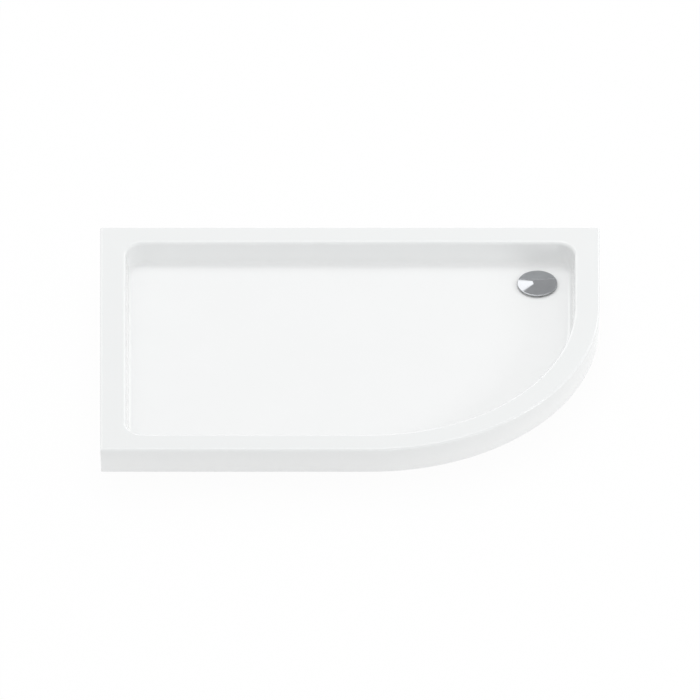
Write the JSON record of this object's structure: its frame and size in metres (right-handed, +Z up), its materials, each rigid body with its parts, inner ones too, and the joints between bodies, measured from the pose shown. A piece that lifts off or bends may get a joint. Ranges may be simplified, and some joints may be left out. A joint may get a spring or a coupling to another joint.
{
  "type": "asymmetric shower tray",
  "caption": "Low white acrylic shower tray with one large rounded corner, a moulded skirt, a corner waste with trap and height-adjustable feet.",
  "frame": {"origin": "centre of the bounding box's bottom, on the floor under the middle of the tray, feet screwed right in", "axes": "+X right along the long side, +Y back to the wall side, +Z up"},
  "size_m": [1.2, 0.85, 0.1453],
  "materials": {
    "white_acrylic": "gloss",
    "fibreglass": "matte, fibrous",
    "chipboard": "raw, sealed with resin",
    "white_polypropylene": "satin",
    "grey_polypropylene": "satin",
    "rubber": "matte",
    "chrome_plate": "polished",
    "zinc_steel": "zinc plated",
    "black_nylon": "moulded, satin"
  },
  "bodies": {
    "tray": {"acrylic_shell": "white_acrylic", "fibreglass_backing": "fibreglass", "base_board": "chipboard", "waste_flange": "white_polypropylene", "upper_gasket": "rubber", "lower_gasket": "rubber", "trap_body": "white_polypropylene", "ball_seal": "rubber", "socket_screws": "zinc_steel", "foot_socket_front_left": "black_nylon", "foot_socket_front_middle": "black_nylon", "foot_socket_front_right": "black_nylon", "foot_socket_right_front": "black_nylon", "foot_socket_right_back": "black_nylon", "foot_socket_back_right": "black_nylon", "foot_socket_back_middle": "black_nylon", "foot_socket_back_left": "black_nylon"},
    "dip_insert": {"dip_insert": "grey_polypropylene", "insert_seal": "rubber"},
    "drain_cover": {"drain_cover": "chrome_plate"},
    "outlet_pipe": {"outlet_pipe": "white_polypropylene"},
    "coupling_nut": {"coupling_nut": "grey_polypropylene"},
    "pad_front_left": {"foot_pad_front_left": "black_nylon"},
    "stud_front_left": {"foot_stud_front_left": "zinc_steel"},
    "lock_nut_front_left": {"lock_nut_front_left": "zinc_steel"},
    "pad_front_middle": {"foot_pad_front_middle": "black_nylon"},
    "stud_front_middle": {"foot_stud_front_middle": "zinc_steel"},
    "lock_nut_front_middle": {"lock_nut_front_middle": "zinc_steel"},
    "pad_front_right": {"foot_pad_front_right": "black_nylon"},
    "stud_front_right": {"foot_stud_front_right": "zinc_steel"},
    "lock_nut_front_right": {"lock_nut_front_right": "zinc_steel"},
    "pad_right_front": {"foot_pad_right_front": "black_nylon"},
    "stud_right_front": {"foot_stud_right_front": "zinc_steel"},
    "lock_nut_right_front": {"lock_nut_right_front": "zinc_steel"},
    "pad_right_back": {"foot_pad_right_back": "black_nylon"},
    "stud_right_back": {"foot_stud_right_back": "zinc_steel"},
    "lock_nut_right_back": {"lock_nut_right_back": "zinc_steel"},
    "pad_back_right": {"foot_pad_back_right": "black_nylon"},
    "stud_back_right": {"foot_stud_back_right": "zinc_steel"},
    "lock_nut_back_right": {"lock_nut_back_right": "zinc_steel"},
    "pad_back_middle": {"foot_pad_back_middle": "black_nylon"},
    "stud_back_middle": {"foot_stud_back_middle": "zinc_steel"},
    "lock_nut_back_middle": {"lock_nut_back_middle": "zinc_steel"},
    "pad_back_left": {"foot_pad_back_left": "black_nylon"},
    "stud_back_left": {"foot_stud_back_left": "zinc_steel"},
    "lock_nut_back_left": {"lock_nut_back_left": "zinc_steel"}
  },
  "joints": [
    {"name": "foot_lift_front_left", "type": "slide", "parent": "tray", "child": "pad_front_left", "axis": [0, 0, -1], "range_m": [0, 0.021]},
    {"name": "foot_screw_front_left", "type": "hinge", "parent": "pad_front_left", "child": "stud_front_left", "pos_m": [-0.473, -0.298, 0], "axis": [0, 0, -1], "range_deg": [0, 4320]},
    {"name": "lock_nut_turn_front_left", "type": "hinge", "parent": "tray", "child": "lock_nut_front_left", "pos_m": [-0.473, -0.298, 0], "axis": [0, 0, -1], "range_deg": [0, 180]},
    {"name": "foot_lift_front_middle", "type": "slide", "parent": "tray", "child": "pad_front_middle", "axis": [0, 0, -1], "range_m": [0, 0.021]},
    {"name": "foot_screw_front_middle", "type": "hinge", "parent": "pad_front_middle", "child": "stud_front_middle", "pos_m": [-0.09942, -0.298, 0], "axis": [0, 0, -1], "range_deg": [0, 4320]},
    {"name": "lock_nut_turn_front_middle", "type": "hinge", "parent": "tray", "child": "lock_nut_front_middle", "pos_m": [-0.09942, -0.298, 0], "axis": [0, 0, -1], "range_deg": [0, 180]},
    {"name": "foot_lift_front_right", "type": "slide", "parent": "tray", "child": "pad_front_right", "axis": [0, 0, -1], "range_m": [0, 0.021]},
    {"name": "foot_screw_front_right", "type": "hinge", "parent": "pad_front_right", "child": "stud_front_right", "pos_m": [0.27416, -0.23372, 0], "axis": [0, 0, -1], "range_deg": [0, 4320]},
    {"name": "lock_nut_turn_front_right", "type": "hinge", "parent": "tray", "child": "lock_nut_front_right", "pos_m": [0.27416, -0.23372, 0], "axis": [0, 0, -1], "range_deg": [0, 180]},
    {"name": "foot_lift_right_front", "type": "slide", "parent": "tray", "child": "pad_right_front", "axis": [0, 0, -1], "range_m": [0, 0.021]},
    {"name": "foot_screw_right_front", "type": "hinge", "parent": "pad_right_front", "child": "stud_right_front", "pos_m": [0.4269, -0.06704, 0], "axis": [0, 0, -1], "range_deg": [0, 4320]},
    {"name": "lock_nut_turn_right_front", "type": "hinge", "parent": "tray", "child": "lock_nut_right_front", "pos_m": [0.4269, -0.06704, 0], "axis": [0, 0, -1], "range_deg": [0, 180]},
    {"name": "foot_lift_right_back", "type": "slide", "parent": "tray", "child": "pad_right_back", "axis": [0, 0, -1], "range_m": [0, 0.021]},
    {"name": "foot_screw_right_back", "type": "hinge", "parent": "pad_right_back", "child": "stud_right_back", "pos_m": [0.473, 0.168, 0], "axis": [0, 0, -1], "range_deg": [0, 4320]},
    {"name": "lock_nut_turn_right_back", "type": "hinge", "parent": "tray", "child": "lock_nut_right_back", "pos_m": [0.473, 0.168, 0], "axis": [0, 0, -1], "range_deg": [0, 180]},
    {"name": "foot_lift_back_right", "type": "slide", "parent": "tray", "child": "pad_back_right", "axis": [0, 0, -1], "range_m": [0, 0.021]},
    {"name": "foot_screw_back_right", "type": "hinge", "parent": "pad_back_right", "child": "stud_back_right", "pos_m": [0.2, 0.311, 0], "axis": [0, 0, -1], "range_deg": [0, 4320]},
    {"name": "lock_nut_turn_back_right", "type": "hinge", "parent": "tray", "child": "lock_nut_back_right", "pos_m": [0.2, 0.311, 0], "axis": [0, 0, -1], "range_deg": [0, 180]},
    {"name": "foot_lift_back_middle", "type": "slide", "parent": "tray", "child": "pad_back_middle", "axis": [0, 0, -1], "range_m": [0, 0.021]},
    {"name": "foot_screw_back_middle", "type": "hinge", "parent": "pad_back_middle", "child": "stud_back_middle", "pos_m": [-0.1365, 0.311, 0], "axis": [0, 0, -1], "range_deg": [0, 4320]},
    {"name": "lock_nut_turn_back_middle", "type": "hinge", "parent": "tray", "child": "lock_nut_back_middle", "pos_m": [-0.1365, 0.311, 0], "axis": [0, 0, -1], "range_deg": [0, 180]},
    {"name": "foot_lift_back_left", "type": "slide", "parent": "tray", "child": "pad_back_left", "axis": [0, 0, -1], "range_m": [0, 0.021]},
    {"name": "foot_screw_back_left", "type": "hinge", "parent": "pad_back_left", "child": "stud_back_left", "pos_m": [-0.473, 0.311, 0], "axis": [0, 0, -1], "range_deg": [0, 4320]},
    {"name": "lock_nut_turn_back_left", "type": "hinge", "parent": "tray", "child": "lock_nut_back_left", "pos_m": [-0.473, 0.311, 0], "axis": [0, 0, -1], "range_deg": [0, 180]},
    {"name": "insert_lift", "type": "slide", "parent": "tray", "child": "dip_insert", "axis": [0, 0, 1], "range_m": [0, 0.09]},
    {"name": "cover_lift", "type": "slide", "parent": "dip_insert", "child": "drain_cover", "axis": [0, 0, 1], "range_m": [0, 0.08]},
    {"name": "outlet_swing", "type": "hinge", "parent": "tray", "child": "outlet_pipe", "pos_m": [0.368, 0.278, 0.031], "axis": [0, 0, 1], "range_deg": [-12, 12]},
    {"name": "coupling_turn", "type": "hinge", "parent": "tray", "child": "coupling_nut", "pos_m": [0.368, 0.278, 0.031], "axis": [-1, 0, 0], "range_deg": [0, 180]}
  ],
  "couplings": [
    {"joint": "foot_screw_front_left", "follows": "foot_lift_front_left", "rad_per_m": 3590.4},
    {"joint": "foot_screw_front_middle", "follows": "foot_lift_front_middle", "rad_per_m": 3590.4},
    {"joint": "foot_screw_front_right", "follows": "foot_lift_front_right", "rad_per_m": 3590.4},
    {"joint": "foot_screw_right_front", "follows": "foot_lift_right_front", "rad_per_m": 3590.4},
    {"joint": "foot_screw_right_back", "follows": "foot_lift_right_back", "rad_per_m": 3590.4},
    {"joint": "foot_screw_back_right", "follows": "foot_lift_back_right", "rad_per_m": 3590.4},
    {"joint": "foot_screw_back_middle", "follows": "foot_lift_back_middle", "rad_per_m": 3590.4},
    {"joint": "foot_screw_back_left", "follows": "foot_lift_back_left", "rad_per_m": 3590.4}
  ]
}
